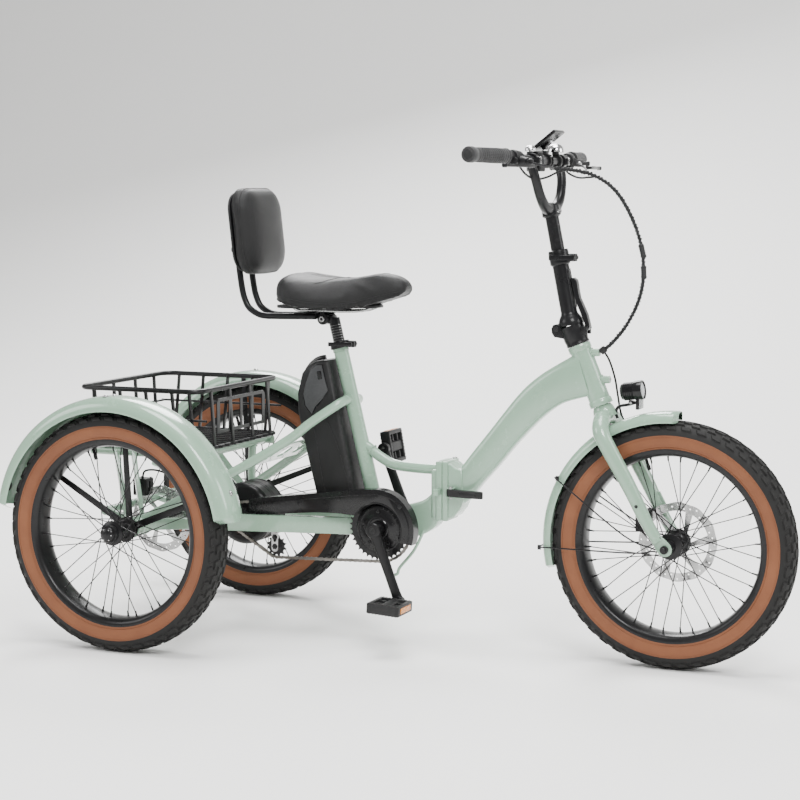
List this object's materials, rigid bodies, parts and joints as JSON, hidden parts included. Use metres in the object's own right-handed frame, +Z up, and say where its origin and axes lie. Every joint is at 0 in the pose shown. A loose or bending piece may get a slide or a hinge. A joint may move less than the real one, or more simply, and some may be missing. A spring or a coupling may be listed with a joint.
{
  "type": "folding adult electric tricycle",
  "caption": "Folding adult tricycle with three fat wheels, step-through frame, folding stem, saddle with backrest, hub drive motor, battery and rear basket",
  "frame": {"origin": "centre of the ground rectangle under the tricycle's bounding box", "axes": "+X forward along the tricycle, +Y to the rider's left, +Z up"},
  "size_m": [1.7866, 0.7978, 1.1791],
  "materials": {
    "sage_paint": "glossy sage green paint",
    "black_paint": "satin black paint",
    "black_plastic": "grained moulded plastic",
    "black_rubber": "matt rubber",
    "tyre": "knobby black tread with tan sidewalls",
    "bright_steel": "bright brushed steel",
    "black_leather": "stitched synthetic leather",
    "grey_casting": "grey cast aluminium"
  },
  "bodies": {
    "frame": {"rear_frame": "sage_paint", "seat_clamp": "black_paint", "chain_guard": "black_plastic", "drive_chain": "bright_steel", "motor_chain": "bright_steel", "tensioner": "bright_steel", "caliper_rear": "black_paint", "basket": "black_paint", "mudguard_rear_left": "sage_paint", "mudguard_rear_right": "sage_paint", "mudguard_stays_rear_left": "black_paint", "mudguard_stays_rear_right": "black_paint"},
    "battery": {"battery": "black_plastic"},
    "seat": {"seat_post": "black_paint", "saddle_pan": "black_plastic", "saddle": "black_leather", "backrest_frame": "black_paint"},
    "backrest": {"backrest_pad": "black_leather", "backrest_shell": "black_plastic"},
    "backrest_knob": {"backrest_knob": "black_plastic"},
    "seat_lever": {"seat_lever": "black_paint"},
    "cranks": {"crank_right": "black_paint", "crank_left": "black_paint", "chainring": "black_paint"},
    "pedal_right": {"pedal_right": "black_plastic"},
    "pedal_left": {"pedal_left": "black_plastic"},
    "wheel_left": {"tyre_rear_left": "tyre", "rim_rear_left": "black_paint", "hub_rear_left": "black_paint"},
    "wheel_right": {"tyre_rear_right": "tyre", "rim_rear_right": "black_paint", "hub_rear_right": "black_paint", "brake_disc_rear": "bright_steel"},
    "motor": {"motor": "black_paint"},
    "idler": {"idler_wheel": "black_plastic"},
    "front_half": {"front_frame": "sage_paint"},
    "fold_latch": {"fold_latch": "black_paint"},
    "steering": {"fork": "sage_paint", "mudguard_front": "sage_paint", "mudguard_stay_front": "black_paint", "headlamp": "black_plastic", "caliper_front": "black_paint", "stem_base": "black_paint"},
    "wheel_front": {"tyre_front": "tyre", "rim_front": "black_paint", "hub_front": "black_paint", "brake_disc_front": "bright_steel"},
    "stem": {"stem_tube": "black_paint", "cable_loom": "black_rubber"},
    "stem_latch": {"stem_latch": "grey_casting"},
    "collar_lever": {"collar_lever": "grey_casting"},
    "bar": {"stem_post": "black_paint", "handlebar": "black_paint", "grip_right": "black_rubber", "grip_left": "black_rubber", "control_box": "black_plastic", "bell": "bright_steel"},
    "display": {"display": "black_plastic"},
    "brake_right": {"brake_lever_right": "black_paint"},
    "brake_left": {"brake_lever_left": "black_paint"}
  },
  "joints": [
    {"name": "battery_slide", "type": "slide", "parent": "frame", "child": "battery", "axis": [-0.2395, 0, 0.9709], "range_m": [0, 0.075]},
    {"name": "seat_height", "type": "slide", "parent": "frame", "child": "seat", "axis": [-0.2395, 0, 0.9709], "range_m": [0, 0.1]},
    {"name": "backrest_height", "type": "slide", "parent": "seat", "child": "backrest", "axis": [-0.1132, 0, 0.9936], "range_m": [0, 0.03]},
    {"name": "backrest_knob_turn", "type": "hinge", "parent": "backrest", "child": "backrest_knob", "pos_m": [-0.46007, 0, 0.90772], "axis": [-0.9936, 0, -0.1132], "continuous": true},
    {"name": "seat_lever_open", "type": "hinge", "parent": "frame", "child": "seat_lever", "pos_m": [-0.1563, -0.015, 0.692], "axis": [0, 0, 1], "range_deg": [0, 100]},
    {"name": "crank_turn", "type": "hinge", "parent": "frame", "child": "cranks", "pos_m": [-0.0573, 0, 0.275], "axis": [0, 1, 0], "continuous": true},
    {"name": "pedal_right_turn", "type": "hinge", "parent": "cranks", "child": "pedal_right", "pos_m": [0.00863, -0.16, 0.11505], "axis": [0, 1, 0], "continuous": true},
    {"name": "pedal_left_turn", "type": "hinge", "parent": "cranks", "child": "pedal_left", "pos_m": [-0.12323, 0.16, 0.43495], "axis": [0, 1, 0], "continuous": true},
    {"name": "wheel_left_spin", "type": "hinge", "parent": "frame", "child": "wheel_left", "pos_m": [-0.5853, 0.3434, 0.275], "axis": [0, 1, 0], "continuous": true},
    {"name": "wheel_right_spin", "type": "hinge", "parent": "frame", "child": "wheel_right", "pos_m": [-0.5853, -0.3434, 0.275], "axis": [0, 1, 0], "continuous": true},
    {"name": "motor_spin", "type": "hinge", "parent": "frame", "child": "motor", "pos_m": [-0.4253, 0, 0.281], "axis": [0, 1, 0], "continuous": true},
    {"name": "idler_spin", "type": "hinge", "parent": "frame", "child": "idler", "pos_m": [-0.3233, -0.066, 0.2145], "axis": [0, 1, 0], "continuous": true},
    {"name": "frame_fold", "type": "hinge", "parent": "frame", "child": "front_half", "pos_m": [0.0835, 0.0465, 0.3645], "axis": [0, 0, 1], "range_deg": [0, 120]},
    {"name": "fold_latch_open", "type": "hinge", "parent": "front_half", "child": "fold_latch", "pos_m": [0.1097, -0.044, 0.3645], "axis": [0, 0, -1], "range_deg": [0, 110]},
    {"name": "steer", "type": "hinge", "parent": "front_half", "child": "steering", "pos_m": [0.3967, 0, 0.707], "axis": [-0.3846, 0, 0.9231], "range_deg": [-45, 45]},
    {"name": "wheel_front_spin", "type": "hinge", "parent": "steering", "child": "wheel_front", "pos_m": [0.6183, 0, 0.275], "axis": [0, 1, 0], "continuous": true},
    {"name": "stem_fold", "type": "hinge", "parent": "steering", "child": "stem", "pos_m": [0.3492, 0, 0.742], "axis": [0, -1, 0], "range_deg": [0, 55]},
    {"name": "stem_latch_open", "type": "hinge", "parent": "steering", "child": "stem_latch", "pos_m": [0.4177, 0, 0.746], "axis": [0, 1, 0], "range_deg": [0, 60]},
    {"name": "collar_lever_open", "type": "hinge", "parent": "stem", "child": "collar_lever", "pos_m": [0.38355, -0.015, 0.90023], "axis": [0, 0, 1], "range_deg": [0, 90]},
    {"name": "bar_height", "type": "slide", "parent": "stem", "child": "bar", "axis": [-0.1961, 0, 0.9806], "range_m": [0, 0.05]},
    {"name": "display_tilt", "type": "hinge", "parent": "bar", "child": "display", "pos_m": [0.3137, 0, 1.14], "axis": [0, 1, 0], "range_deg": [-15, 15]},
    {"name": "brake_right_pull", "type": "hinge", "parent": "bar", "child": "brake_right", "pos_m": [0.3497, -0.191, 1.108], "axis": [0, 0, 1], "range_deg": [0, 15], "stiffness_Nm_per_rad": 0.8},
    {"name": "brake_left_pull", "type": "hinge", "parent": "bar", "child": "brake_left", "pos_m": [0.3497, 0.191, 1.108], "axis": [0, 0, -1], "range_deg": [0, 15], "stiffness_Nm_per_rad": 0.8}
  ],
  "couplings": [
    {"joint": "motor_spin", "follows": "wheel_left_spin", "ratio": 1.8462}
  ]
}
